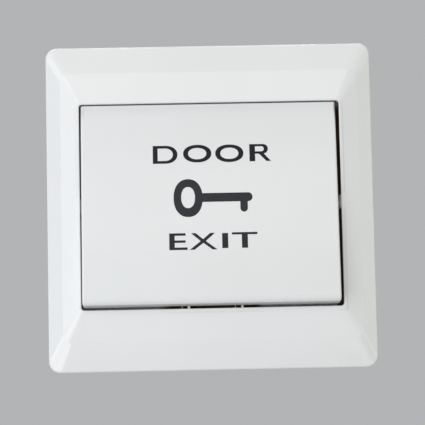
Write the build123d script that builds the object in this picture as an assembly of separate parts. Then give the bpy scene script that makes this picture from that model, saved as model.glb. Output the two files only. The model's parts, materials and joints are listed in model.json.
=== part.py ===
from build123d import *
import math
import os

# A door exit button for a wall box: a clipped surround, a tilting button and a switch behind it.
# Millimetres. While it is modelled, x runs to the right, y up the wall and z out of the wall,
# with the wall plane at z = 0. place() turns each finished piece so that +Z is up.

# Surround
plate_size = 86.0
plate_corner = 3.0
rim_height = 3.5
rim_edge_radius = 0.8
crease_height = 6.0
crease_side_inset = 3.9
crease_end_inset = 7.5
crease_corner = 2.4
face_height = 7.5
face_land = 0.35
frame_wall = 1.8
window_side_band = 8.85
window_end_band = 15.95
window_corner = 0.8
window_edge_radius = 0.2
inner_land = 1.45
collar_wall = 1.2
collar_depth = 1.8
pry_notch_width = 6.6
pry_notch_height = 1.6
bead_length = 8.0
bead_height = 0.6
bead_reach = 0.9
bead_offset = 24.0
rib_thickness = 1.2
rib_offset = 12.0
cut_over = 1.0
overlap = 0.1
pick_range = 0.01

# Mounting plate
pad_height = 0.8
panel_thickness = 1.6
plate_gap = 0.4
pad_width = 1.5
wall_screw_band = 12.85
slot_length = 5.6
slot_width = 4.4
wall_screw_head = 6.8
pocket_margin = 0.05
slot_pad_margin = 2.0
aperture_gap = 0.3
aperture_pad = 2.6
aperture_corner = 3.0
seat_gap = 0.1
rear_rib_gap = 0.1

# Button, sized in its pressed position, in which its face is parallel to the wall
button_side_gap = 0.71
pressed_top_gap = 0.72
pressed_bottom_gap = 0.52
roof_clearance = 0.54
rest_tilt = 5.4
button_face_wall = 1.8
skirt_wall = 1.5
lip_radius = 1.5
inner_lip_radius = 0.6
button_edge_radius = 0.3
button_corner = 0.5
skirt_low_top = 5.2
skirt_low_bottom = 4.0
button_rib_height = 0.8

# Pivot
pin_radius = 1.0
pin_length = 1.6
pin_clearance = 0.05
pin_floor = 0.2
ear_thickness = 1.5
ear_half_width = 1.85
ear_rise = 0.4
ear_edge_radius = 0.3
ear_side_play = 0.40
rest_side_clearance = 0.13
lobe_half_width = 2.0
lobe_clearance = 0.1

# Stop hooks at the lower edge of the button
hook_spacing = 14.0
hook_width = 1.4
hook_reach = 1.0
hook_nose = 1.1
hook_stop_gap = 0.04
hook_room = 0.4

# Switch housing
wall_screw_room = 6.15
flange_window_gap = 5.05
flange_end = 5.0
flange_side = 2.0
flange_thickness = 1.6
housing_corner = 2.0
housing_wall = 1.6
housing_screw_inset = 6.0
housing_screw_offset = 2.8
boss_floor = 1.0
pilot_floor = 0.3
screw_clearance = 0.02
screw_hole_gap = 0.25

# Plunger and the springs under the button
plunger_inset = 6.0
plunger_radius = 2.0
plunger_clearance = 0.05
guide_wall = 1.5
guide_length = 5.0
plunger_lift = 1.85
dome_height = 0.85
collar_radius = 3.2
collar_height = 1.35
stem_radius = 1.4
stem_length = 4.4
spigot_gap = 0.12
spigot_room = 1.45
boss_gap = 0.15
spring_inset = 5.0
spring_cup_gap = 0.53
spring_cup_wall = 1.2
spring_cup_depth = 3.5
return_coil_radius = 2.5
return_wire_radius = 0.27
return_turns = 5
spring_peg_gap = 0.63
spring_peg_length = 1.4
plunger_coil_radius = 1.2
plunger_wire_radius = 0.18
plunger_turns = 6
plunger_cup_gap = 0.27
plunger_cup_wall = 0.95
plunger_cup_height = 1.3
plunger_cup_floor = 0.2

# Contacts
contact_step = 1.0
contact_radius = 1.5
contact_height = 0.7
contact_closed_gap = 0.05
bridge_drop = 2.8
bridge_overhang = 2.0
bridge_width = 4.4
bridge_thickness = 0.4
bridge_hub_radius = 3.0
bridge_play = 0.05
clip_thickness = 0.5
clip_radius = 2.8
groove_depth = 0.3
bridge_hole_gap = 0.1
contact_coil_gap = 0.55
contact_wire_radius = 0.17
contact_turns = 3

# Cover and terminals
cover_thickness = 2.0
cover_lip = 1.0
cover_lip_wall = 1.2
cover_lip_gap = 0.15
cover_lip_corner = 0.5
cover_room = 3.2
cover_screw_inset = 3.5
cover_screw_rise = 3.4
cover_screw_grip = 5.0
cover_post_gap = 2.0
cover_post_cap = 2.0
cover_panel_depth = 0.5
cover_panel_margin = 1.5
cover_panel_rib = 1.0
chamber_depth = 7.0
chamber_wall = 1.4
chamber_height = 12.4
chamber_chamfer = 0.4
strip_thickness = 0.7
leg_inset = 9.0
strip_slot_gap = 0.1
foot_width = 6.6
foot_gap = 0.3
terminal_screw_step = 3.9
terminal_screw_drop = 3.7
terminal_screw_radius = 1.5
terminal_screw_open = 0.7
terminal_screw_gap = 0.2
terminal_tip_gap = 0.4
terminal_hole_floor = 0.4
terminal_head_radius = 2.7
terminal_head_height = 1.9
clamp_thickness = 0.8
clamp_size = 6.2
clamp_corner = 0.5
clamp_hole_gap = 0.1
small_head_radius = 2.0
small_head_height = 1.1
small_shank_radius = 1.0
small_shank_depth = 7.2
boss_wall = 1.4

# Heights and places that follow from the sizes above
window_width = plate_size - 2 * window_side_band
window_height = plate_size - 2 * window_end_band
screw_pitch = plate_size - 2 * wall_screw_band
housing_width = screw_pitch - 2 * wall_screw_room
flange_width = housing_width + 2 * flange_side
flange_height = window_height - 2 * flange_window_gap
housing_height = flange_height - 2 * flange_end
housing_screw_x = housing_width / 2 - housing_screw_inset
housing_screw_y = housing_height / 2 + housing_screw_offset
plunger_drop = housing_height / 2 - plunger_inset
spring_spacing = housing_width - 2 * spring_inset
spring_cup_radius = return_coil_radius + return_wire_radius + spring_cup_gap
spring_peg_radius = return_coil_radius - return_wire_radius - spring_peg_gap
contact_coil_radius = stem_radius + contact_coil_gap
leg_offset = housing_width / 2 - leg_inset
contact_spacing = leg_offset + contact_step
bridge_length = contact_spacing + 2 * bridge_overhang
panel_top = pad_height + panel_thickness
pivot_height = panel_top + pin_floor + pin_clearance + pin_radius
tilt_slope = math.tan(math.radians(rest_tilt))
pressed_top = window_height / 2 - pressed_top_gap
pressed_bottom = -window_height / 2 + pressed_bottom_gap
button_width = window_width - 2 * button_side_gap
button_height = pressed_top - pressed_bottom
button_centre = (pressed_top + pressed_bottom) / 2
button_shift = rest_side_clearance - ear_side_play
ear_inner = button_width / 2 + ear_side_play
frame_underside = face_height - frame_wall
flange_top = panel_top + flange_thickness
screw_head_reach = (housing_screw_y + small_head_radius) * tilt_slope
button_roof = flange_top + small_head_height + roof_clearance + screw_head_reach
pressed_face_height = button_roof + button_face_wall
plunger_travel = plunger_drop * math.radians(rest_tilt)
guide_end = flange_top - guide_length
collar_low = guide_end - seat_gap / 2 - collar_height
stem_low = collar_low - stem_length
bridge_top = collar_low - bridge_drop
bridge_low = bridge_top - bridge_thickness
clip_top = bridge_low - bridge_play
moving_contact_low = bridge_low - contact_height
fixed_contact_top = moving_contact_low - plunger_travel - contact_closed_gap
strip_top = fixed_contact_top - contact_height
strip_low = strip_top - strip_thickness
housing_rear = strip_low - cover_room
cover_rear = housing_rear - cover_thickness
cup_floor = housing_rear + plunger_cup_floor
spigot_radius = plunger_coil_radius - plunger_wire_radius - spigot_gap
spigot_length = stem_low - cup_floor - plunger_travel - spigot_room
foot_low = cover_rear - strip_thickness
clamp_top = foot_low - terminal_screw_open
head_under = clamp_top - clamp_thickness
chamber_rear = cover_rear - chamber_depth
chamber_inner = leg_offset - chamber_wall
chamber_outer = housing_width / 2 - chamber_wall
chamber_low = -housing_height / 2
chamber_top = chamber_low + chamber_height
terminal_screw_x = leg_offset + terminal_screw_step
terminal_screw_y = chamber_top - terminal_screw_drop
terminal_hole_top = housing_rear - terminal_hole_floor
cover_screw_x = housing_width / 2 - cover_screw_inset
cover_screw_y = chamber_top + chamber_wall + cover_screw_rise


def block(x, y, z):
    """A box given by its range along each axis."""
    corner = Align.MIN
    box = Box(x[1] - x[0], y[1] - y[0], z[1] - z[0], align=(corner, corner, corner))
    return Pos(x[0], y[0], z[0]) * box


def slab(width, height, radius, low, high):
    """A slab with rounded corners, between two heights over the wall."""
    return Pos(0, 0, low) * extrude(RectangleRounded(width, height, radius), high - low)


def rod(x, y, radius, low, high):
    """A round bar square to the wall."""
    bar = Cylinder(radius, high - low, align=(Align.CENTER, Align.CENTER, Align.MIN))
    return Pos(x, y, low) * bar


def cross_rod(radius, start, end, y, z):
    """A round bar along x."""
    bar = Cylinder(radius, end - start, align=(Align.CENTER, Align.CENTER, Align.MIN))
    return Pos(start, y, z) * Rot(0, 90, 0) * bar


def side_profile(points, start, end):
    """A closed outline of (y, z) points, drawn out along x."""
    outline = Plane.YZ * make_face(Polyline(*points, close=True))
    return Pos(start, 0, 0) * extrude(outline, end - start)


def both_sides(piece):
    """A piece with its mirror image on the other side."""
    return piece + mirror(piece, Plane.YZ)


def coil(x, y, radius, wire_radius, turns, low, high):
    """A coil spring whose wire just fits between two heights."""
    height = high - low - 2 * wire_radius
    path = Helix(height / turns, height, radius)
    wire = sweep(Plane(path @ 0, z_dir=path % 0) * Circle(wire_radius), path)
    return Pos(x, y, low + wire_radius) * wire


def crowned(sections, low):
    """A solid that rises through rounded rectangles, each (width, height, corner, level)."""
    width, height, corner, level = sections[0]
    wall = slab(width, height, corner, low, level)
    outlines = [Pos(0, 0, z) * RectangleRounded(w, h, r) for w, h, r, z in sections]
    return wall + loft(outlines, ruled=True)


def frame_outside():
    """The outer form: an upright rim, a steep band, a crease and a flatter band."""
    crease_width = plate_size - 2 * crease_side_inset
    crease_length = plate_size - 2 * crease_end_inset
    land_width = window_width + 2 * face_land
    land_length = window_height + 2 * face_land
    form = crowned(
        [
            (plate_size, plate_size, plate_corner, rim_height),
            (crease_width, crease_length, crease_corner, crease_height),
            (land_width, land_length, window_corner + face_land, face_height),
        ],
        0,
    )
    rim = form.edges().filter_by_position(Axis.Z, rim_height - pick_range, rim_height + pick_range)
    return fillet(rim, rim_edge_radius)


def frame_inside():
    """The hollow of the surround, one wall inside the outer form."""
    inner = plate_size - 2 * frame_wall
    inner_corner = plate_corner - frame_wall / 2
    crease_width = plate_size - 2 * crease_side_inset - frame_wall
    crease_length = plate_size - 2 * crease_end_inset - frame_wall
    land_width = window_width + 2 * inner_land
    land_length = window_height + 2 * inner_land
    return crowned(
        [
            (inner, inner, inner_corner, rim_height - frame_wall / 2),
            (crease_width, crease_length, inner_corner, crease_height - frame_wall),
            (land_width, land_length, inner_corner, frame_underside),
        ],
        -cut_over,
    )


def frame_collar():
    """The return wall round the window, open where the ears and hooks of other pieces pass."""
    width = window_width + 2 * collar_wall
    length = window_height + 2 * collar_wall
    low = frame_underside - collar_depth
    ring = slab(width, length, window_corner + collar_wall, low, frame_underside + frame_wall / 2)
    room = ear_half_width + 2 * seat_gap
    ring -= block((-width, width), (ear_rise - room, ear_rise + room), (low, frame_underside))
    return ring


def catch_beads():
    """Four beads on the side walls that snap behind the edge of the mounting plate."""
    wall = plate_size / 2 - frame_wall
    high = pad_height - seat_gap
    beads = Part()
    for y in (-bead_offset, bead_offset):
        span = (y - bead_length / 2, y + bead_length / 2)
        beads += block((wall - bead_reach, wall + frame_wall / 2), span, (high - bead_height, high))
    return both_sides(beads)


def seat_ribs():
    """Short ribs inside the side walls that stand on the mounting plate."""
    wall = plate_size / 2 - frame_wall
    low = panel_top + seat_gap / 2
    high = crease_height - frame_wall / 2
    ribs = Part()
    for y in (-rib_offset, rib_offset):
        span = (y - rib_thickness / 2, y + rib_thickness / 2)
        ribs += block((wall - crease_side_inset, wall - crease_side_inset / 2), span, (low, high))
    return both_sides(ribs)


def face_frame():
    """The clipped surround with its window and the notch for prying it off."""
    hull = frame_outside()
    frame = hull - frame_inside() + frame_collar() + catch_beads() + (seat_ribs() & hull)
    frame -= slab(window_width, window_height, window_corner, -cut_over, face_height + cut_over)
    low, high = face_height - pick_range, face_height + pick_range
    edge = frame.edges().filter_by_position(Axis.Z, low, high)
    edge = edge.filter_by(lambda e: abs(e.center().X) <= window_width / 2 + pick_range)
    edge = edge.filter_by(lambda e: abs(e.center().Y) <= window_height / 2 + pick_range)
    frame = fillet(edge, window_edge_radius)
    notch = (-pry_notch_width / 2, pry_notch_width / 2)
    wall = (-plate_size / 2 - cut_over, -plate_size / 2 + frame_wall + pick_range)
    return frame - block(notch, wall, (-cut_over, pry_notch_height))


def wall_screw_pads():
    """Pads on the wall behind the two slots for the wall box screws."""
    reach = slot_length / 2 + slot_pad_margin
    x = screw_pitch / 2
    pad = block((x - reach, x + reach), (-reach, reach), (0, pad_height + overlap))
    return both_sides(pad)


def wall_screw_cuts():
    """Slots for the wall box screws, each at the bottom of a pocket that sinks its head."""
    x = screw_pitch / 2
    half = wall_screw_head / 2 + pocket_margin
    pocket = block((x - half, x + half), (-half, half), (pad_height, panel_top + cut_over))
    slot = extrude(SlotOverall(slot_length, slot_width), pad_height + 2 * cut_over)
    slot = Pos(x, 0, -cut_over) * slot
    return both_sides(pocket + slot)


def pivot_ears():
    """Two upright ears with the holes that the pins of the button turn in."""
    low = panel_top - overlap
    outer = ear_inner + ear_thickness
    high = pivot_height + ear_half_width
    across = (ear_rise - ear_half_width, ear_rise + ear_half_width)
    ear = block((ear_inner, outer), across, (low, high))
    ear = fillet(ear.edges().filter_by(Axis.X).group_by(Axis.Z)[-1], ear_edge_radius)
    start, end = ear_inner - cut_over, outer + cut_over
    ear -= cross_rod(pin_radius + pin_clearance, start, end, 0, pivot_height)
    return both_sides(ear)


def hook_openings():
    """Openings that the stop hooks of the button pass through."""
    outer = pressed_bottom - hook_room
    inner = pressed_bottom + skirt_wall + 2 * hook_room
    half = hook_width / 2 + hook_room
    x = hook_spacing / 2
    cut = block((x - half, x + half), (outer, inner), (-cut_over, panel_top + cut_over))
    return both_sides(cut)


def screw_bosses(cores):
    """Four bosses behind the plate for the screws of the housing flange, or their pilot holes."""
    shank_end = flange_top - small_shank_depth
    found = Part()
    for x in (-housing_screw_x, housing_screw_x):
        for y in (-housing_screw_y, housing_screw_y):
            if cores:
                low = shank_end - pilot_floor
                found += rod(x, y, small_shank_radius, low, panel_top + cut_over)
            else:
                low = shank_end - boss_floor
                found += rod(x, y, small_shank_radius + boss_wall, low, panel_top)
    return found


def rear_ribs(size):
    """Eight stiffening ribs behind the plate, from the aperture pad out to the edge."""
    side = housing_width / 2 + aperture_gap
    end = housing_height / 2 + aperture_gap
    edge = size / 2 - pad_width / 2
    half = rib_thickness / 2
    heights = (rear_rib_gap, pad_height + overlap)
    ribs = Part()
    for level in (-rib_offset, rib_offset):
        ribs += block((side, edge), (level - half, level + half), heights)
    for start, stop in ((-edge, -end), (end, edge)):
        x = housing_screw_x
        ribs += block((x - half, x + half), (start, stop), heights)
    return both_sides(ribs)


def mounting_plate():
    """The moulded plate that is screwed to the wall box and carries everything else."""
    size = plate_size - 2 * (frame_wall + plate_gap)
    corner = plate_corner - frame_wall / 2
    plate = slab(size, size, corner, pad_height, panel_top)
    edge = slab(size, size, corner, 0, pad_height)
    inner = size - 2 * pad_width
    edge -= slab(inner, inner, corner / 2, -cut_over, pad_height + cut_over)
    for y in (-bead_offset, bead_offset):
        span = (y - bead_length * 0.75, y + bead_length * 0.75)
        edge -= block((-plate_size, plate_size), span, (-cut_over, pad_height))
    plate += edge
    hole_width = housing_width + 2 * aperture_gap
    hole_height = housing_height + 2 * aperture_gap
    pad_size = (hole_width + 2 * aperture_pad, hole_height + 2 * aperture_pad)
    plate += slab(*pad_size, aperture_corner, 0, panel_top)
    plate += wall_screw_pads() + screw_bosses(cores=False) + rear_ribs(size)
    hole_low = flange_top - small_shank_depth - boss_floor - cut_over
    plate -= slab(hole_width, hole_height, housing_corner, hole_low, panel_top + cut_over)
    plate -= screw_bosses(cores=True) + wall_screw_cuts() + hook_openings()
    return plate + pivot_ears()


def button_shell():
    """The cap of the button: a face with a rounded lower lip and four skirts."""
    half = button_width / 2
    deep = skirt_low_bottom - 2 * cut_over
    cap = Pos(0, button_centre, deep) * Box(
        button_width,
        button_height,
        pressed_face_height - deep,
        align=(Align.CENTER, Align.CENTER, Align.MIN),
    )
    lip = cap.edges().filter_by(Axis.X).group_by(Axis.Z)[-1].sort_by(Axis.Y)[0]
    cap = fillet(lip, lip_radius)
    corners = cap.edges().filter_by(Axis.Z)
    cap = fillet(corners, button_corner)
    face = cap.faces().sort_by(Axis.Z)[-1]
    rest = face.edges().filter_by(lambda e: e.center().Y > pressed_bottom + lip_radius + 0.1)
    cap = fillet(rest, button_edge_radius)
    inner_low = pressed_bottom + skirt_wall
    hollow = block(
        (-half + skirt_wall, half - skirt_wall),
        (inner_low, pressed_top - skirt_wall),
        (deep - cut_over, button_roof),
    )
    inner_lip = hollow.edges().filter_by(Axis.X).group_by(Axis.Z)[-1].sort_by(Axis.Y)[0]
    hollow = fillet(inner_lip, inner_lip_radius)
    below = [
        (pressed_bottom - cut_over, deep - cut_over),
        (pressed_top + cut_over, deep - cut_over),
        (pressed_top + cut_over, skirt_low_top),
        (pressed_top, skirt_low_top),
        (pressed_bottom, skirt_low_bottom),
        (pressed_bottom - cut_over, skirt_low_bottom),
    ]
    return cap - hollow - side_profile(below, -button_width, button_width)


def pivot_pins():
    """A pin on each side skirt, on a lobe that brings the skirt down to it."""
    half = button_width / 2
    low = panel_top + lobe_clearance + lobe_half_width * tilt_slope
    lobe = block(
        (half - skirt_wall, half),
        (-lobe_half_width, lobe_half_width),
        (low, skirt_low_top + cut_over),
    )
    pin = cross_rod(pin_radius, half - overlap, half + pin_length, 0, pivot_height)
    return both_sides(lobe + pin)


def turned(y, z, degrees):
    """Where a point (y, z) goes when the button turns about its pivot."""
    spot = Vector(0, y, z - pivot_height).rotate(Axis.X, degrees)
    return spot.Y, spot.Z + pivot_height


def stop_hooks():
    """Two arms at the lower skirt whose noses catch behind the mounting plate."""
    y_rest, _ = turned(pressed_bottom, pad_height, -rest_tilt)
    _, nose_top = turned(y_rest - hook_reach, pad_height - hook_stop_gap, rest_tilt)
    nose_low = nose_top - hook_nose
    outer = pressed_bottom
    inner = pressed_bottom + skirt_wall
    arm = [
        (outer, skirt_low_bottom + cut_over),
        (outer, nose_top),
        (outer - hook_reach, nose_top),
        (outer - hook_reach, nose_top - hook_nose / 3),
        (outer, nose_low),
        (inner, nose_low),
        (inner, skirt_low_bottom + cut_over),
    ]
    x = hook_spacing / 2
    return both_sides(side_profile(arm, x - hook_width / 2, x + hook_width / 2))


def button_underside():
    """The boss over the plunger, the seats of the two springs and two stiffening ribs."""
    y = -plunger_drop
    half = button_width / 2 - skirt_wall / 2
    rib_low = button_roof - button_rib_height
    dome_top = flange_top + plunger_lift
    _, boss_low = turned(y, dome_top + boss_gap, rest_tilt)
    high = button_roof + overlap
    parts = rod(0, y, plunger_radius, boss_low, high)
    for x in (-spring_spacing / 2, spring_spacing / 2):
        parts += rod(x, y, spring_cup_radius, rib_low, high)
        parts += rod(x, y, spring_peg_radius, rib_low - spring_peg_length, high)
    for level in (y, plunger_drop):
        span = (level - rib_thickness / 2, level + rib_thickness / 2)
        parts += block((-half, half), span, (rib_low, high))
    return parts


def button():
    """The button, turned out to its rest position and lying to the left between its ears."""
    body = button_shell() + pivot_pins() + stop_hooks() + button_underside()
    at_pivot = Pos(0, 0, -pivot_height) * body
    return Pos(button_shift, 0, pivot_height) * Rot(-rest_tilt, 0, 0) * at_pivot


def contact_housing():
    """The switch box, open at the rear, with its flange in front of the mounting plate."""
    y = -plunger_drop
    inner_width = housing_width - 2 * housing_wall
    inner_height = housing_height - 2 * housing_wall
    box = slab(flange_width, flange_height, housing_corner, panel_top, flange_top)
    box += slab(housing_width, housing_height, housing_corner, housing_rear, flange_top)
    low = housing_rear - cut_over
    box -= slab(inner_width, inner_height, housing_corner / 2, low, panel_top)
    box += rod(0, y, plunger_radius + plunger_clearance + guide_wall, guide_end, flange_top)
    high = flange_top + cut_over
    box -= rod(0, y, plunger_radius + plunger_clearance, guide_end - cut_over, high)
    spring_floor = flange_top - spring_cup_depth
    shell = slab(housing_width, housing_height, housing_corner, housing_rear, flange_top)
    for x in (-spring_spacing / 2, spring_spacing / 2):
        cup_outer = spring_cup_radius + spring_cup_wall
        cup = rod(x, y, cup_outer, spring_floor - spring_cup_wall, flange_top)
        box += cup & shell
        box -= rod(x, y, spring_cup_radius, spring_floor, high)
    post_top = guide_end - cover_post_gap
    for x in (-cover_screw_x, cover_screw_x):
        post = rod(x, cover_screw_y, small_shank_radius + boss_wall, housing_rear, post_top)
        box += post & shell
        box -= rod(x, cover_screw_y, small_shank_radius, low, post_top - cover_post_cap)
    for x in (-housing_screw_x, housing_screw_x):
        for level in (-housing_screw_y, housing_screw_y):
            hole = small_shank_radius + screw_hole_gap
            box -= rod(x, level, hole, panel_top - cut_over, high)
    return box


def terminal_chambers():
    """Two pockets behind the cover, open to the rear and downwards for the wires."""
    walls = block(
        (chamber_inner - chamber_wall, chamber_outer + chamber_wall),
        (chamber_low, chamber_top + chamber_wall),
        (chamber_rear, cover_rear + overlap),
    )
    walls = chamfer(walls.edges().group_by(Axis.Z)[0], chamber_chamfer)
    walls -= block(
        (chamber_inner, chamber_outer),
        (chamber_low - cut_over, chamber_top),
        (chamber_rear - cut_over, cover_rear),
    )
    return both_sides(walls)


def cover_panels():
    """Two sunk panels in the cover between the chambers, with a rib left between them."""
    side = chamber_inner - chamber_wall - cover_panel_margin
    span = (cover_rear - cut_over, cover_rear + cover_panel_depth)
    panel = block(
        (cover_panel_rib / 2, side),
        (chamber_low + cover_panel_margin, chamber_top),
        span,
    )
    panel = fillet(panel.edges().filter_by(Axis.Z), cover_panel_rib)
    return both_sides(panel)


def strip_supports():
    """Pillars under the contact end of each brass strip."""
    y = -plunger_drop
    half = bridge_width / 2
    x = contact_spacing / 2
    pillar = block(
        (x - contact_radius, x + contact_radius),
        (y - half, y + half),
        (housing_rear - overlap, strip_low),
    )
    return both_sides(pillar)


def housing_cover():
    """The rear cover with the spring cup, the slots for the strips and the terminal pockets."""
    y = -plunger_drop
    inner_width = housing_width - 2 * (housing_wall + cover_lip_gap)
    inner_height = housing_height - 2 * (housing_wall + cover_lip_gap)
    cover = slab(housing_width, housing_height, housing_corner, cover_rear, housing_rear)
    lip = slab(inner_width, inner_height, housing_corner / 2, housing_rear, housing_rear + cover_lip)
    lip_hole = 2 * cover_lip_wall
    lip_top = housing_rear + cover_lip + cut_over
    room = (inner_width - lip_hole, inner_height - lip_hole)
    lip -= slab(*room, cover_lip_corner, housing_rear, lip_top)
    post_room = small_shank_radius + boss_wall + cover_lip_gap
    for x in (-cover_screw_x, cover_screw_x):
        lip -= rod(x, cover_screw_y, post_room, housing_rear, lip_top)
    cover += lip + terminal_chambers() + strip_supports()
    cup_radius = plunger_coil_radius + plunger_wire_radius + plunger_cup_gap
    cup_top = housing_rear + plunger_cup_height
    cover += rod(0, y, cup_radius + plunger_cup_wall, housing_rear - overlap, cup_top)
    cover -= rod(0, y, cup_radius, cup_floor, cup_top + cut_over)
    hole = small_shank_radius + screw_hole_gap
    for x in (-cover_screw_x, cover_screw_x):
        cover -= rod(x, cover_screw_y, hole, cover_rear - cut_over, lip_top)
    half = bridge_width / 2 + strip_slot_gap
    leg = (leg_offset - strip_slot_gap, leg_offset + strip_thickness + strip_slot_gap)
    slot = block(leg, (y - half, y + half), (cover_rear - overlap, housing_rear + overlap))
    slot += rod(
        terminal_screw_x,
        terminal_screw_y,
        terminal_screw_radius + terminal_screw_gap,
        cover_rear - overlap,
        terminal_hole_top,
    )
    return cover - both_sides(slot) - cover_panels()


def screws(places, head_radius, head_height, shank_radius, seat, length, outwards):
    """Slotted screws whose heads seat at one height, with the head out or towards the wall."""
    found = Part()
    for x, y in places:
        head = rod(0, 0, head_radius, 0, head_height)
        head = fillet(head.edges().group_by(Axis.Z)[-1], head_height / 3)
        slot_half = head_radius / 6
        across = (-head_radius, head_radius)
        deep = head_height * 0.55
        head -= block(across, (-slot_half, slot_half), (deep, head_height + cut_over))
        screw = head + rod(0, 0, shank_radius - screw_clearance, -length, 0)
        turn = 0 if outwards else 180
        found += Pos(x, y, seat) * Rot(turn, 0, 0) * screw
    return found


def housing_screws():
    """Four screws through the flange of the housing into the mounting plate."""
    xs = (-housing_screw_x, housing_screw_x)
    ys = (-housing_screw_y, housing_screw_y)
    places = [(x, y) for x in xs for y in ys]
    length = small_shank_depth - pilot_floor
    return screws(
        places, small_head_radius, small_head_height, small_shank_radius, flange_top, length, True
    )


def cover_screws():
    """Two screws through the rear cover into the housing."""
    places = [(-cover_screw_x, cover_screw_y), (cover_screw_x, cover_screw_y)]
    length = cover_thickness + cover_screw_grip
    return screws(
        places, small_head_radius, small_head_height, small_shank_radius, cover_rear, length, False
    )


def terminal_screws():
    """Two larger screws that draw the clamp plates onto the brass feet."""
    places = [(-terminal_screw_x, terminal_screw_y), (terminal_screw_x, terminal_screw_y)]
    length = terminal_hole_top - terminal_tip_gap - head_under
    head = (terminal_head_radius, terminal_head_height)
    return screws(places, *head, terminal_screw_radius, head_under, length, False)


def plunger():
    """The push pin: a domed shaft, a collar that stops it and a stem for the bridge."""
    top = flange_top + plunger_lift
    shaft_top = top - dome_height
    dome_radius = (plunger_radius**2 + dome_height**2) / (2 * dome_height)
    shaft = rod(0, 0, plunger_radius, collar_low + collar_height - overlap, top)
    shaft &= Pos(0, 0, top - dome_radius) * Sphere(dome_radius) + rod(
        0, 0, plunger_radius, collar_low, shaft_top
    )
    pin = shaft + rod(0, 0, collar_radius, collar_low, collar_low + collar_height)
    pin += rod(0, 0, stem_radius, stem_low, collar_low)
    pin += rod(0, 0, spigot_radius, stem_low - spigot_length, stem_low)
    groove = rod(0, 0, stem_radius + cut_over, clip_top - clip_thickness, clip_top)
    groove -= rod(0, 0, stem_radius - groove_depth, clip_top - clip_thickness, clip_top)
    return Pos(0, -plunger_drop, 0) * (pin - groove)


def contact_bridge():
    """The sprung strip that joins the two fixed contacts."""
    half_length = bridge_length / 2
    half_width = bridge_width / 2
    strip = block((-half_length, half_length), (-half_width, half_width), (bridge_low, bridge_top))
    strip = fillet(strip.edges().filter_by(Axis.Z), half_width / 2)
    strip += rod(0, 0, bridge_hub_radius, bridge_low, bridge_top)
    hole = stem_radius + bridge_hole_gap
    strip -= rod(0, 0, hole, bridge_low - cut_over, bridge_top + cut_over)
    return Pos(0, -plunger_drop, 0) * strip


def bridge_contacts():
    """Two silver buttons under the ends of the bridge."""
    button_pair = Part()
    for x in (-contact_spacing / 2, contact_spacing / 2):
        button_pair += rod(x, -plunger_drop, contact_radius, moving_contact_low, bridge_low)
    return button_pair


def bridge_clip():
    """The open clip in the groove of the stem."""
    low = clip_top - clip_thickness
    core = stem_radius - groove_depth
    span = (low - cut_over, clip_top + cut_over)
    ring = rod(0, 0, clip_radius, low, clip_top) - rod(0, 0, core, *span)
    ring -= block((-core * 0.8, core * 0.8), (0, clip_radius + cut_over), span)
    return Pos(0, -plunger_drop, 0) * ring


def brass_terminal():
    """The right-hand strip: a contact arm, a leg through the cover and a tapped foot."""
    y = -plunger_drop
    half = bridge_width / 2
    across = (y - half, y + half)
    reach = leg_offset + strip_thickness
    arm = block((contact_spacing / 2 - contact_radius, reach), across, (strip_low, strip_top))
    leg = block((leg_offset, reach), across, (foot_low, strip_top))
    foot_low_y = terminal_screw_y - foot_width / 2
    foot = block(
        (leg_offset, chamber_outer - foot_gap),
        (min(foot_low_y, y), terminal_screw_y + foot_width / 2),
        (foot_low, cover_rear),
    )
    span = (foot_low - cut_over, cover_rear + cut_over)
    hole = rod(terminal_screw_x, terminal_screw_y, terminal_screw_radius, *span)
    return arm + leg + foot - hole


def fixed_contact():
    """The right-hand silver button on its brass strip."""
    return rod(contact_spacing / 2, -plunger_drop, contact_radius, strip_top, fixed_contact_top)


def clamp_plate():
    """The right-hand wire clamp, held under the head of its screw."""
    half = clamp_size / 2
    x, y = terminal_screw_x, terminal_screw_y
    plate = block((x - half, x + half), (y - half, y + half), (head_under, clamp_top))
    plate = fillet(plate.edges().filter_by(Axis.Z), clamp_corner)
    span = (head_under - cut_over, clamp_top + cut_over)
    return plate - rod(x, y, terminal_screw_radius + clamp_hole_gap, *span)


def return_spring(x):
    """A coil spring between its cup in the housing and its seat under the button."""
    floor = flange_top - spring_cup_depth
    _, seat = turned(-plunger_drop, button_roof - button_rib_height, -rest_tilt)
    slope = (return_coil_radius + return_wire_radius) * tilt_slope
    return coil(
        x, -plunger_drop, return_coil_radius, return_wire_radius, return_turns, floor, seat - slope
    )


def plunger_spring():
    """The coil spring between the stem of the plunger and its cup in the cover."""
    size = (plunger_coil_radius, plunger_wire_radius, plunger_turns)
    return coil(0, -plunger_drop, *size, cup_floor, stem_low)


def contact_spring():
    """The small coil spring that presses the bridge down from the collar."""
    return coil(
        0,
        -plunger_drop,
        contact_coil_radius,
        contact_wire_radius,
        contact_turns,
        bridge_top,
        collar_low,
    )


def place(piece, name):
    """Turn a finished piece so that +Z is up and the front faces -Y, and write it."""
    export_step(Rot(90, 0, 0) * piece, f"parts/{name}.step")


os.makedirs("parts", exist_ok=True)
right_terminal = brass_terminal()
right_contact = fixed_contact()
right_clamp = clamp_plate()
pieces = {
    "face_frame": face_frame(),
    "mounting_plate": mounting_plate(),
    "button": button(),
    "contact_housing": contact_housing(),
    "housing_cover": housing_cover(),
    "housing_screws": housing_screws(),
    "cover_screws": cover_screws(),
    "plunger": plunger(),
    "contact_bridge": contact_bridge(),
    "bridge_contacts": bridge_contacts(),
    "bridge_clip": bridge_clip(),
    "contact_spring": contact_spring(),
    "plunger_spring": plunger_spring(),
    "left_return_spring": return_spring(-spring_spacing / 2),
    "right_return_spring": return_spring(spring_spacing / 2),
    "common_terminal": mirror(right_terminal, Plane.YZ),
    "open_terminal": right_terminal,
    "common_contact": mirror(right_contact, Plane.YZ),
    "open_contact": right_contact,
    "common_clamp_plate": mirror(right_clamp, Plane.YZ),
    "open_clamp_plate": right_clamp,
    "terminal_screws": terminal_screws(),
}
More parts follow.
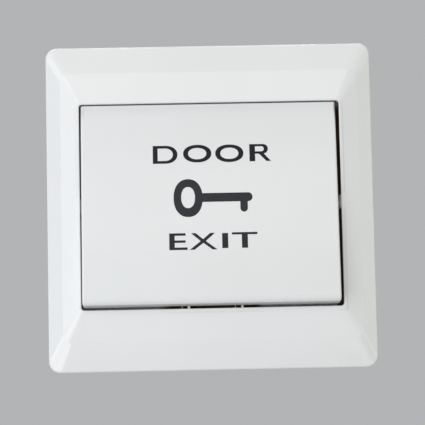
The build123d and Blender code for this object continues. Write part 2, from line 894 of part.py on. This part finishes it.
for name, piece in pieces.items():
    place(piece, name)
    print(name, "volume", round(piece.volume, 1))
print("plunger travel", round(plunger_travel, 4), "mm at a tilt of", rest_tilt, "degrees")
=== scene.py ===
# %% [markdown]
# # A door exit button, dressed for the camera
#
# The real object is a wall plate of 86 mm with one large tilting button. Its shape comes from the CAD
# model, which is loaded first and never moved. What this file adds is what a camera sees: the printed
# words and key, the finish of each material, the light and the point of view. It also puts stand-ins in
# place of the springs behind the button.

# %% Load the CAD model
import json
import math

import bpy
from mathutils import Matrix, Vector


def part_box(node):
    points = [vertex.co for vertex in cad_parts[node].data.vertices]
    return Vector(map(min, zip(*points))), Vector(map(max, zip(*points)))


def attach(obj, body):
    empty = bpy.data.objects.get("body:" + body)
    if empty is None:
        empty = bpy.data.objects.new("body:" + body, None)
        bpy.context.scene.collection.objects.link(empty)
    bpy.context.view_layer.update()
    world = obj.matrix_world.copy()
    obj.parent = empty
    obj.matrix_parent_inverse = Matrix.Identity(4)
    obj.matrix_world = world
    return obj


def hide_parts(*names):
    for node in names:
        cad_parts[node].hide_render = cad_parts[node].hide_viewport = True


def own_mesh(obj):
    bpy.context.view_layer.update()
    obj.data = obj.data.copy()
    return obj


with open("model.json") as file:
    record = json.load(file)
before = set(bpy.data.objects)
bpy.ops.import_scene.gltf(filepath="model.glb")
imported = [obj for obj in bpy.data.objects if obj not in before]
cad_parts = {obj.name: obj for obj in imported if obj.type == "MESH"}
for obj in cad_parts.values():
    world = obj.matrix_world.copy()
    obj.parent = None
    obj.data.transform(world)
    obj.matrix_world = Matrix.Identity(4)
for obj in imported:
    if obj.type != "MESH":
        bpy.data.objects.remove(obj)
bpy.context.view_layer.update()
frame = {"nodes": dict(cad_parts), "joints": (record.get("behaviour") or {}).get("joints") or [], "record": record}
nodes = frame["nodes"]

# %% [markdown]
# ## The point of view
#
# The photograph was taken from about half a metre, a little below the middle of the plate and with the
# camera rolled by one degree. Those numbers come from the corners of the plate, the window and the
# button, whose sizes are known. A long lens at the right distance gives the same slight convergence, so
# no shift is needed.
#
# TURN is an axis whose length is the angle in degrees, and it turns the upright plate's axes to the
# camera's. STAND leads from the middle of the rim to the camera, in millimetres to the camera's own
# right, up and back.

# %% Place the camera
MM = 0.001
SENSOR_WIDTH = 36.0
FOCAL_PIXELS = 2000
PICTURE_PIXELS = 425
TURN = Vector((-6.46, 0.9, 1.15))
STAND = Vector((0.48, -1.61, 526.2))
RIM_PLANE = 3.5

bpy.ops.object.select_all(action="DESELECT")
bpy.ops.object.camera_add()
camera = bpy.context.object
camera.name = "photo_camera"
camera.data.sensor_width = SENSOR_WIDTH
camera.data.lens = SENSOR_WIDTH * FOCAL_PIXELS / PICTURE_PIXELS
camera.data.clip_start = 0.05
camera.data.clip_end = 20.0
camera_to_wall = Matrix.Rotation(math.radians(TURN.length), 3, TURN).transposed()
wall_to_world = Matrix.Rotation(math.radians(90), 3, "X")
place = wall_to_world @ (camera_to_wall @ STAND + Vector((0, 0, RIM_PLANE))) * MM
camera.matrix_world = Matrix.Translation(place) @ (wall_to_world @ camera_to_wall).to_4x4()
bpy.context.scene.camera = camera
print("camera at", [round(v, 4) for v in place], "lens", round(camera.data.lens, 1), "mm")

# %% [markdown]
# ## A pale floor and an even surround
#
# The button hangs on a wall in use, but here it is shown alone. A pale floor lies well below it, out of
# the picture, and gives the other views a ground. The world is seen as a pale grey by the camera and by
# anything that mirrors or lets light through, and lights the rest softly.

# %% Lay the floor
FLOOR_LEVEL = -0.50
FLOOR_WIDTH = 6.0

bpy.ops.object.select_all(action="DESELECT")
bpy.ops.mesh.primitive_plane_add(size=FLOOR_WIDTH, location=(0, 0, FLOOR_LEVEL))
floor = bpy.context.object
floor.name = "floor"
print("floor at", FLOOR_LEVEL, "m")

# %% [markdown]
# ## Shader maths as plain expressions
#
# A node tree is easier to read as arithmetic. This small class wraps one socket, so that
# `1 - mask * 0.2` adds the Math nodes for it. Everything else goes through one method that makes a node,
# sets it up and connects it.
#
# A Mix node has sockets of the same name for numbers, vectors and colours, so those for colours are
# picked by their number.

# %% Wrap a socket
MIX_SHARE = 0
MIX_FIRST = 6
MIX_SECOND = 7
MIX_RESULT = 2


class Value:
    """A number or colour that flows through a material, with Python's own operators."""

    def __init__(self, tree, socket):
        self.tree = tree
        self.socket = socket

    def maths(self, operation, first, second=0.0):
        made = self.tree.node("ShaderNodeMath", {"operation": operation}, {0: first, 1: second})
        return made.out("Value")

    def __add__(self, other):
        return self.maths("ADD", self, other)

    def __sub__(self, other):
        return self.maths("SUBTRACT", self, other)

    def __mul__(self, other):
        return self.maths("MULTIPLY", self, other)

    def __rsub__(self, other):
        return self.maths("SUBTRACT", other, self)

    def __neg__(self):
        return self.maths("MULTIPLY", self, -1.0)

    __radd__ = __add__
    __rmul__ = __mul__

    def size(self):
        return self.maths("ABSOLUTE", self)

    def over(self, edge, width):
        """0 below an edge and 1 above it, with a soft step of that width."""
        settings = {"interpolation_type": "SMOOTHSTEP"}
        values = {"Value": self, "From Min": edge - width / 2, "From Max": edge + width / 2}
        return self.tree.node("ShaderNodeMapRange", settings, values).out("Result")


class Made:
    """A node that was just made, from which an output is picked by name or number."""

    def __init__(self, tree, node):
        self.tree = tree
        self.inner = node

    def out(self, name):
        return Value(self.tree, self.inner.outputs[name])


class Finish:
    """A material with its shader, and the nodes that feed it."""

    def __init__(self, name):
        self.material = bpy.data.materials.new(name)
        self.material.use_nodes = True
        self.nodes = self.material.node_tree.nodes
        self.links = self.material.node_tree.links
        self.shader = self.nodes["Principled BSDF"]
        self.place = self.node("ShaderNodeTexCoord").out("Object")

    def node(self, kind, settings=None, values=None):
        """Makes one node: its settings first, then the values or links of its sockets."""
        node = self.nodes.new(kind)
        for key, value in (settings or {}).items():
            setattr(node, key, value)
        for key, value in (values or {}).items():
            self.feed(node.inputs[key], value)
        return Made(self, node)

    def feed(self, socket, value):
        """Links a socket to a Value, or gives it a number, a vector or a colour."""
        if isinstance(value, Value):
            self.links.new(value.socket, socket)
        elif isinstance(value, (tuple, list)) and len(value) == 3 and socket.type == "RGBA":
            socket.default_value = (*value, 1.0)
        else:
            socket.default_value = value

    def noise(self, size, detail, rough=0.5, at=None):
        """Noise whose blots are about size metres across, from 0 to 1."""
        values = {
            "Vector": at or self.place,
            "Scale": 1.0 / size,
            "Detail": detail,
            "Roughness": rough,
        }
        return self.node("ShaderNodeTexNoise", None, values).out("Fac")

    def stretched(self, x, y, z):
        """The place on the piece, with its axes stretched, for brushed or rolled lines."""
        values = {"Vector": self.place, "Scale": (x, y, z)}
        return self.node("ShaderNodeMapping", None, values).out("Vector")

    def split(self, vector):
        """The three numbers of a vector."""
        made = self.node("ShaderNodeSeparateXYZ", None, {"Vector": vector})
        return made.out("X"), made.out("Y"), made.out("Z")

    def blend(self, share, first, second):
        """A colour between two others."""
        values = {MIX_SHARE: share, MIX_FIRST: first, MIX_SECOND: second}
        return self.node("ShaderNodeMix", {"data_type": "RGBA"}, values).out(MIX_RESULT)

    def set(self, **values):
        """Feeds the shader's own sockets, with _ for the space in a name."""
        for key, value in values.items():
            self.feed(self.shader.inputs[key.replace("_", " ")], value)

    def bump(self, height, depth):
        """A relief of that depth in metres under the shine."""
        values = {"Height": height, "Distance": depth, "Strength": 1.0}
        self.set(Normal=self.node("ShaderNodeBump", None, values).out("Normal"))


print("shader maths ready")


# %% [markdown]
# ## White moulded plastic
#
# The surround and the button are glossy white ABS, and the mounting plate behind them is a duller one.
# It is never quite even: the tone drifts a little where the plastic flowed, the mould's polish leaves a
# faint orange-peel relief, and handling leaves soft smears that change the gloss but hardly the colour.
#
# The gap round the button is darkened by painted shade. A dark brown colour covers its walls on the right
# and below the middle, deeper than the mouth of the gap, and a paler share of it covers the upper left.
# The top of the gap and the places where the ears of the mounting plate fill it are left unshaded, so
# they read brighter. The same mask makes the gloss duller there. All the limits are metres in the shared
# frame, in which x is across, y is depth and z is up. Each step is the width over which the shade begins.

# %% Mix the white plastics
GAP_SIDE = 0.0327
GAP_END = 0.0259
GAP_OUTER_SIDE = 0.0352
GAP_OUTER_END = 0.0282
GAP_TOP = 0.0262
GAP_MIDDLE = 0.0127
GAP_MOUTH = -0.0071
GAP_BACK = -0.0018
EAR_FOOT = -0.0035
EAR_MIDDLE = 0.0006
EAR_HALF = 0.0018
# The share of the painted gap shade that the upper left of the gap gets.
THIN_GAP_SHADE = 0.35
CRISP_STEP = 0.0002
SOFT_STEP = 0.0004
MOUTH_STEP = 0.0008
EAR_STEP = 0.0020
TOP_STEP = 0.0024
MIDDLE_STEP = 0.0040
# The two brown colours of the shade painted into the gap, mottled between each other.
DARK_GAP_SHADE = (0.070, 0.034, 0.015)
PALE_GAP_SHADE = (0.180, 0.100, 0.055)


def gap_painted_shade(finish, mouth):
    """1 where shade is painted in the gap round the button, deeper than its mouth, and 0 elsewhere."""
    across, depth, height = finish.split(finish.place)
    fall = -height
    thin = (-across).over(GAP_SIDE, CRISP_STEP) * height.over(EAR_HALF, EAR_STEP) * THIN_GAP_SHADE
    beside = across.over(GAP_SIDE, CRISP_STEP) + thin
    below = fall.over(GAP_END, SOFT_STEP) * (1 - across.size().over(GAP_MIDDLE, MIDDLE_STEP))
    gap = 1 - (1 - beside) * (1 - below)
    outside = across.size().over(GAP_OUTER_SIDE, CRISP_STEP) + fall.over(GAP_OUTER_END, CRISP_STEP)
    # Near the ears no shade is painted, so the ears and the walls beside them read brighter.
    ear_unshaded = 1 - (height - EAR_MIDDLE).size().over(EAR_HALF, SOFT_STEP)
    allowed = (1 - outside) * (1 - height.over(GAP_TOP, TOP_STEP)) * (1 - ear_unshaded)
    deep = depth.over(mouth, MOUTH_STEP) * (1 - depth.over(GAP_BACK, SOFT_STEP))
    return gap * allowed * deep


def glossy_white(name, tone, gloss, mouth):
    """ABS with a tone (r, g, b) and a roughness around gloss, with painted shade in the gap below its mouth."""
    finish = Finish(name)
    flow = finish.noise(0.030, 2.0)
    smear = finish.noise(0.012, 4.0, 0.6, finish.stretched(1.0, 1.0, 2.2))
    grain = finish.noise(0.0009, 2.0)
    darker = tuple(0.975 * c for c in tone)
    body = finish.blend(flow.over(0.5, 0.6), darker, tone)
    # Painted shade: the gap walls take a dark brown colour in place of the shade that falls there.
    shade_share = gap_painted_shade(finish, mouth)
    shade_blots = finish.noise(0.004, 5.0, 0.6)
    shade_tone = finish.blend(shade_blots.over(0.5, 0.35), DARK_GAP_SHADE, PALE_GAP_SHADE)
    body = finish.blend(shade_share, body, shade_tone)
    skin = gloss + 0.06 * (smear - 0.5) + 0.02 * (grain - 0.5) + 0.5 * shade_share
    finish.set(Base_Color=body, Roughness=skin, IOR=1.53)
    peel = finish.noise(0.0016, 1.0)
    finish.bump(peel * 0.7 + grain * 0.3, 0.0000012)
    return finish.material


# Both plastics get painted shade in the gap: the surround and button below its mouth, the mounting plate below its
# ears' feet.
white_plastic = glossy_white("glossy_white_abs", (0.80, 0.805, 0.81), 0.08, GAP_MOUTH)
plate_plastic = glossy_white("plate_white_abs", (0.86, 0.845, 0.81), 0.34, EAR_FOOT)
print("made", white_plastic.name, "and", plate_plastic.name)


# %% [markdown]
# ## The switch behind the plate
#
# Switch housings are moulded in a tougher plastic that is filled with short glass fibres. It is ivory
# rather than white, dull, and the fibres show as fine pale specks and a slightly rough skin. The push
# pin is acetal, which is waxy and smooth.

# %% Mix the housing plastic and the acetal
def fibre_filled(name, tone):
    """A dull moulded plastic with fine fibres in its skin."""
    finish = Finish(name)
    flow = finish.noise(0.012, 3.0)
    fibre = finish.noise(0.00025, 2.0, 0.7, finish.stretched(1.0, 1.0, 0.25))
    speck = fibre.over(0.66, 0.08)
    darker = tuple(0.90 * c for c in tone)
    paler = tuple(min(1.0, 1.10 * c) for c in tone)
    body = finish.blend(flow.over(0.5, 0.5), darker, tone)
    finish.set(Base_Color=finish.blend(speck * 0.5, body, paler))
    finish.set(Roughness=0.46 + 0.12 * (flow - 0.5) + 0.10 * speck, IOR=1.52)
    finish.bump(fibre, 0.000006)
    return finish.material


def waxy(name, tone):
    """Acetal: smooth and waxy, with a faint cloud in its tone."""
    finish = Finish(name)
    cloud = finish.noise(0.004, 2.0)
    fine = finish.noise(0.0005, 2.0)
    darker = tuple(0.93 * c for c in tone)
    finish.set(Base_Color=finish.blend(cloud, darker, tone))
    finish.set(Roughness=0.30 + 0.08 * (fine - 0.5), IOR=1.48)
    finish.bump(fine, 0.000002)
    return finish.material


switch_plastic = fibre_filled("ivory_housing_plastic", (0.70, 0.665, 0.58))
plunger_plastic = waxy("acetal_push_pin", (0.62, 0.63, 0.62))
print("made", switch_plastic.name, "and", plunger_plastic.name)


# %% [markdown]
# ## The metals
#
# Inside a switch each metal has its own look: brass strip is rolled and stamped, so it carries fine
# lines along its length and a little tarnish; bronze spring strip is redder; silver contacts are soft
# and pale; screws are zinc plated, with a bluish to straw bloom; spring wire is drawn and grey.

# %% Mix the metals
LINE_SIZE = 0.00012


def metal(name, tone, bloom, gloss, lines):
    """A metal with drawn or rolled lines, a bloom that drifts over it and small dull spots."""
    finish = Finish(name)
    drift = finish.noise(0.0035, 3.0)
    drawn = finish.noise(LINE_SIZE, 3.0, 0.6, finish.stretched(*lines))
    spots = finish.noise(0.0008, 4.0, 0.7).over(0.68, 0.10)
    body = finish.blend(drift.over(0.5, 0.5), tone, bloom)
    darker = tuple(0.55 * c for c in tone)
    finish.set(Base_Color=finish.blend(spots * 0.35, body, darker), Metallic=1.0)
    finish.set(Roughness=gloss + 0.14 * (drawn - 0.5) + 0.12 * spots)
    finish.bump(drawn, 0.0000025)
    return finish.material


zinc_steel = metal("zinc_plated_steel", (0.66, 0.67, 0.68), (0.70, 0.67, 0.58), 0.30, (1.0, 1.0, 1.0))
brass_strip = metal("rolled_brass", (0.78, 0.58, 0.26), (0.66, 0.46, 0.22), 0.28, (0.08, 1.0, 1.0))
bronze_strip = metal("spring_bronze", (0.80, 0.53, 0.33), (0.70, 0.42, 0.25), 0.26, (0.08, 1.0, 1.0))
silver = metal("contact_silver", (0.86, 0.85, 0.82), (0.74, 0.70, 0.62), 0.24, (1.0, 1.0, 1.0))
spring_steel = metal("drawn_spring_wire", (0.50, 0.50, 0.51), (0.42, 0.41, 0.40), 0.32, (1.0, 0.3, 1.0))
print("metals:", [m.name for m in (zinc_steel, brass_strip, bronze_strip, silver, spring_steel)])

# %% [markdown]
# ## Give every CAD node its finish
#
# The record names a material slot for each node, so the finishes are handed out by that name. A node
# keeps its own mesh; only the material in its slot changes.

# %% Hand out the finishes
finish_of_slot = {
    "white_plastic": white_plastic,
    "plate_plastic": plate_plastic,
    "switch_plastic": switch_plastic,
    "plunger_plastic": plunger_plastic,
    "zinc_steel": zinc_steel,
    "brass_strip": brass_strip,
    "bronze_strip": bronze_strip,
    "silver": silver,
    "spring_steel": spring_steel,
}
for part in frame["record"]["subparts"]:
    piece = nodes[part["node"]]
    finish = finish_of_slot[part["material_slot"]]
    if not piece.material_slots:
        piece.data.materials.append(finish)
    for socket in piece.material_slots:
        socket.material = finish

# %% [markdown]
# ## Stand-ins for the springs
#
# Three springs sit behind the button: one under each side of the button, and one behind the push pin.
# In the CAD model they are rigid. Here each gets a stand-in with the same coils, fixed to the wall
# plate, and the CAD spring is hidden.

# %% Stand in for the springs
TILT = math.radians(frame["joints"][0]["range_deg"][1])
pivot = Vector(frame["joints"][0]["pos_m"])


def shortening_spring(node, name):
    """Stands for a CAD spring with a copy of its coils, fixed to the wall plate, and hides the CAD spring."""
    coil = bpy.data.objects.new(name, nodes[node].data.copy())
    bpy.context.collection.objects.link(coil)
    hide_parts(node)
    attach(coil, "wall_plate")
    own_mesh(coil)


for side in ("left", "right"):
    shortening_spring(f"{side}_return_spring", f"{side}_return_coil")
shortening_spring("plunger_spring", "plunger_coil")

# %% [markdown]
# ## The button's own flat place
#
# The words and the key are printed on the tilted face. It is easiest to draw them flat, in millimetres,
# with x to the right and y up from the pivot axis, as the button lies when it is pressed. One matrix then
# carries the drawing onto the face: it tilts it about the pivot, shifts it with the button and turns it
# up to the wall.

# %% Find the face
button_low, button_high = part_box("button")
button_middle = (button_low.x + button_high.x) / 2
lean = Matrix.Rotation(-TILT, 4, "X")
upright = Matrix.Rotation(math.radians(90), 4, "X")
to_pivot = Matrix.Translation((button_middle, pivot.y, pivot.z))


def face_height():
    """How far the flat of the face stands from the pivot axis, square to it, in metres."""
    back = (lean.inverted() @ upright.inverted()).to_3x3()
    mesh = nodes["button"].data
    return max((back @ (v.co - Vector((0, pivot.y, pivot.z)))).z for v in mesh.vertices)


FACE = face_height()
print("face stands", round(FACE / MM, 3), "mm from the pivot; middle at x", round(button_middle / MM, 3))

# %% [markdown]
# ## Outlines of letters
#
# The print is wide, plain capitals whose upright strokes are about twice as thick as the level ones.
# Each letter is drawn in a unit square from straight lines and arcs, then stretched to its own width
# and height.

# %% Draw the outlines
RING_POINTS = 48


def arc(centre, radii, start, end, steps, fullness=2.0):
    """Points along part of an ellipse, or of a fuller curve where fullness is above 2."""
    points = []
    for i in range(steps + 1):
        angle = math.radians(start + (end - start) * i / steps)
        c, s = math.cos(angle), math.sin(angle)
        x = math.copysign(abs(c) ** (2 / fullness), c)
        y = math.copysign(abs(s) ** (2 / fullness), s)
        points.append((centre[0] + radii[0] * x, centre[1] + radii[1] * y))
    return points


def ring(centre, radii, fullness):
    """Points round a whole ellipse, or a fuller curve."""
    return arc(centre, radii, 0, 360 - 360 / RING_POINTS, RING_POINTS - 1, fullness)


LETTERS = {
    "D": [
        [(0, 0), *arc((0.50, 0.5), (0.50, 0.5), -90, 90, 28, 2.15), (0, 1)],
        [(0.195, 0.15), *arc((0.49, 0.5), (0.325, 0.35), -90, 90, 28, 2.15), (0.195, 0.85)],
    ],
    "O": [ring((0.5, 0.5), (0.5, 0.5), 2.15), ring((0.5, 0.5), (0.325, 0.325), 2.1)],
    "R": [
        [(0, 0), (0.262, 0), (0.262, 0.44), (0.40, 0.44), (0.475, 0.40), (0.795, 0), (1, 0),
         (0.67, 0.445), *arc((0.60, 0.722), (0.27, 0.278), -72, 90, 20, 2.2), (0, 1)],
        [(0.262, 0.575), *arc((0.565, 0.724), (0.115, 0.149), -90, 90, 16), (0.262, 0.873)],
    ],
    "E": [[(0, 0), (1, 0), (1, 0.145), (0.296, 0.145), (0.296, 0.43), (0.90, 0.43), (0.90, 0.57),
           (0.296, 0.57), (0.296, 0.855), (0.90, 0.855), (0.90, 1), (0, 1)]],
    "X": [[(0, 0), (0.172, 0), (0.5, 0.405), (0.828, 0), (1, 0), (0.588, 0.515), (0.925, 1),
           (0.755, 1), (0.492, 0.63), (0.225, 1), (0.055, 1), (0.402, 0.515)]],
    "I": [[(0, 0), (1, 0), (1, 1), (0, 1)]],
    "T": [[(0.385, 0), (0.62, 0), (0.62, 0.86), (1, 0.86), (1, 1), (0, 1), (0, 0.86), (0.385, 0.86)]],
}


def letter(shape, left, right, low, high):
    """The outlines of one letter, stretched to its place in millimetres."""
    fitted = []
    for outline in LETTERS[shape]:
        points = [(left + x * (right - left), low + y * (high - low)) for x, y in outline]
        fitted.append(points)
    return fitted


print("letters drawn:", " ".join(LETTERS))

# %% [markdown]
# ## Printing them on the face
#
# Pad printing leaves a film of ink a few hundredths of a millimetre thick. A flat curve fills itself
# between its outer and inner outlines, so it needs no cutting; it is given that thickness, turned into
# a mesh, and only then set in its place.

# %% Make a print
INK_UNDER = 0.02
INK_OVER = 0.03
WELD = 0.001


def printed(name, outlines, ink):
    """A thin raised print from flat outlines in millimetres, set on the face of the button."""
    bpy.ops.object.select_all(action="DESELECT")
    bpy.ops.curve.primitive_bezier_circle_add()
    drawing = bpy.context.object
    drawing.name = name
    curve = drawing.data
    curve.splines.clear()
    curve.dimensions = "2D"
    curve.fill_mode = "BOTH"
    for outline in outlines:
        spline = curve.splines.new("POLY")
        spline.points.add(len(outline) - 1)
        for point, (x, y) in zip(spline.points, outline):
            point.co = (x, y, 0, 1)
        spline.use_cyclic_u = True
    curve.extrude = (INK_UNDER + INK_OVER) / 2
    bpy.ops.object.convert(target="MESH")
    bpy.ops.object.mode_set(mode="EDIT")
    bpy.ops.mesh.select_all(action="SELECT")
    bpy.ops.mesh.remove_doubles(threshold=WELD)
    bpy.ops.mesh.normals_make_consistent(inside=False)
    bpy.ops.object.mode_set(mode="OBJECT")
    level = FACE / MM + (INK_OVER - INK_UNDER) / 2
    on_face = Matrix.Translation((0, 0, level * MM)) @ Matrix.Scale(MM, 4)
    drawing.matrix_world = to_pivot @ upright @ lean @ on_face
    bpy.ops.object.transform_apply(location=True, rotation=True, scale=True)
    drawing.data.materials.append(ink)
    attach(drawing, "push_button")
    print(name, "has", len(drawing.data.polygons), "faces")


# %% [markdown]
# ## The ink
#
# The ink is a dark blue-grey with a satin skin. Its edge is crisp, and its tone is a little uneven where
# the film is thinner. The photograph shows DOOR darkest, EXIT a little paler and the key palest.

# %% Mix the ink
def print_ink(name, tone, paler):
    """A satin ink whose tone drifts between two colours."""
    finish = Finish(name)
    thinness = finish.noise(0.0012, 3.0)
    fine = finish.noise(0.0002, 2.0)
    finish.set(Base_Color=finish.blend(thinness.over(0.5, 0.7), tone, paler))
    finish.set(Roughness=0.36 + 0.10 * (fine - 0.5), Specular_IOR_Level=0.25)
    finish.bump(fine, 0.0000015)
    return finish.material


door_ink = print_ink("door_ink", (0.005, 0.007, 0.009), (0.009, 0.011, 0.014))
exit_ink = print_ink("exit_ink", (0.017, 0.019, 0.021), (0.023, 0.025, 0.028))
key_ink = print_ink("key_ink", (0.024, 0.025, 0.030), (0.030, 0.031, 0.037))
print("made", door_ink.name, exit_ink.name, "and", key_ink.name)

# %% [markdown]
# ## The words
#
# Two words. Each letter has its own place in millimetres from the middle of the button: its left and
# right edges, then its lower and upper ones.

# %% Print the words
printed("printed_door", [
    *letter("D", -14.65, -8.23, 10.36, 15.15),
    *letter("O", -6.72, 0.64, 10.55, 15.26),
    *letter("O", 1.68, 9.03, 10.49, 15.19),
    *letter("R", 10.62, 16.18, 10.59, 15.17),
], door_ink)
printed("printed_exit", [
    *letter("E", -10.75, -6.05, -12.65, -8.25),
    *letter("X", -5.46, 1.65, -12.65, -8.29),
    *letter("I", 2.97, 4.51, -12.36, -8.40),
    *letter("T", 5.53, 12.13, -12.38, -8.25),
], exit_ink)
print("words printed")

# %% [markdown]
# ## The key
#
# A plain key lying on its side: an oval bow that is higher than it is wide, a thick shank with a
# round end, and one short bit. Its outline is walked once round, from where the shank leaves the bow.

# %% Print the key
def key_outlines():
    """The outline of the key and the hole in its bow, in millimetres."""
    bow = (-5.65, 1.06)
    reach = (3.78, 5.03)
    hole = (-5.66, 1.20)
    hole_reach = (1.80, 2.82)
    fullness = 2.2
    low, high = -0.04, 2.30
    end = 11.12
    bit_left, bit_right, bit_low = 7.91, 9.83, -2.82
    level = (low + high) / 2
    half = (high - low) / 2
    start = math.degrees(math.asin(((high - bow[1]) / reach[1]) ** (fullness / 2)))
    stop = 360 - math.degrees(math.asin(((bow[1] - low) / reach[1]) ** (fullness / 2)))
    bit_half = (bit_right - bit_left) / 2
    outer = [
        *arc(bow, reach, start, stop, 56, fullness),
        (bit_left, low),
        *arc((bit_left + bit_half, bit_low + bit_half), (bit_half, bit_half), 180, 360, 14),
        (bit_right, low),
        *arc((end - half, level), (half, half), -80, 90, 16),
    ]
    return [outer, ring(hole, hole_reach, fullness)]


printed("printed_key", key_outlines(), key_ink)
print("key printed")

# %% [markdown]
# ## Light
#
# In the photograph the left-hand slopes are the brightest and a little cool, and the right-hand ones
# fall away to a warmer grey. So two broad boxes stand on the left, above and below, and a weaker warm
# one on the right. Gloss shows where the rest of the light comes from. The camera looks up from 6.6
# degrees below, and each slope mirrors another height: the upper slope next to the window sees the box
# in front at 30 degrees, the face of the button sees the narrow strip at 17.5 degrees as a faint pale
# band across its middle, and the lower slopes see the low box. Two more strips graze the plate from
# above and from the left and draw the bright line on its rims.

# %% Place a soft box
def soft_box(name, azimuth, elevation, distance, width, height, watts, tint=(1, 1, 1)):
    """A rectangular light in metres, by its direction in degrees: right and up are positive."""
    a, e = math.radians(azimuth), math.radians(elevation)
    away = Vector((math.sin(a) * math.cos(e), -math.cos(a) * math.cos(e), math.sin(e)))
    bpy.ops.object.select_all(action="DESELECT")
    bpy.ops.object.light_add(type="AREA")
    lamp = bpy.context.object
    lamp.name = name
    lamp.data.shape = "RECTANGLE"
    lamp.data.size = width
    lamp.data.size_y = height
    lamp.data.energy = watts
    lamp.data.color = tint
    facing = away.to_track_quat("Z", "Y").to_matrix().to_4x4()
    lamp.matrix_world = Matrix.Translation(away * distance) @ facing
    print(name, watts, "W")


# %% Switch on the lights
soft_box("left_box", -42, 12, 0.60, 0.50, 0.55, 1.44, (0.93, 0.96, 1.0))
soft_box("lower_left_box", -38, -28, 0.60, 0.50, 0.40, 1.45, (0.96, 0.98, 1.0))
soft_box("right_box", 68, 0, 0.60, 0.50, 0.60, 1.11, (0.99, 1.0, 0.88))
soft_box("front_box", -5, 30, 0.90, 0.44, 0.22, 0.36)
soft_box("face_strip", 0, 17.5, 0.90, 0.60, 0.065, 0.080)
soft_box("low_box", 0, -24, 0.70, 0.60, 0.32, 0.37)
soft_box("high_strip", -8, 84, 0.60, 0.60, 0.08, 1.58, (1.0, 1.0, 0.93))
soft_box("side_strip", -88, 8, 0.60, 0.08, 0.60, 0.17)

# %% [markdown]
# ## The colours of the world and the floor
#
# A Light Path node tells who is looking. The camera, mirrors and see-through things get the pale
# ground, and everything else gets a weaker, even light, so the ground doesn't wash out the shadows.

# %% Colour the world
AMBIENT = 0.26
SEEN_GROUND = (0.45, 0.455, 0.46)

world = bpy.data.worlds.new("pale_surround")
bpy.context.scene.world = world
world.use_nodes = True
tree = world.node_tree
background = tree.nodes["Background"]
path = tree.nodes.new("ShaderNodeLightPath")
seen = path.outputs["Is Camera Ray"]
for other in ("Is Glossy Ray", "Is Transmission Ray"):
    either = tree.nodes.new("ShaderNodeMath")
    either.operation = "MAXIMUM"
    tree.links.new(seen, either.inputs[0])
    tree.links.new(path.outputs[other], either.inputs[1])
    seen = either.outputs[0]
ground = tree.nodes.new("ShaderNodeMix")
ground.data_type = "RGBA"
tree.links.new(seen, ground.inputs[MIX_SHARE])
ground.inputs[MIX_FIRST].default_value = (AMBIENT, AMBIENT, AMBIENT, 1)
ground.inputs[MIX_SECOND].default_value = (*SEEN_GROUND, 1)
tree.links.new(ground.outputs[MIX_RESULT], background.inputs["Color"])
background.inputs["Strength"].default_value = 1.0

# %% Colour the floor
DARKER_FLOOR = (0.56, 0.56, 0.56)
PALER_FLOOR = (0.60, 0.60, 0.60)

floor_finish = Finish("pale_floor")
speckle = floor_finish.noise(0.02, 4.0)
floor_tone = floor_finish.blend(speckle, DARKER_FLOOR, PALER_FLOOR)
floor_finish.set(Base_Color=floor_tone, Roughness=0.8)
floor.data.materials.append(floor_finish.material)
bpy.context.scene.view_settings.view_transform = "Standard"
print("world and floor coloured")
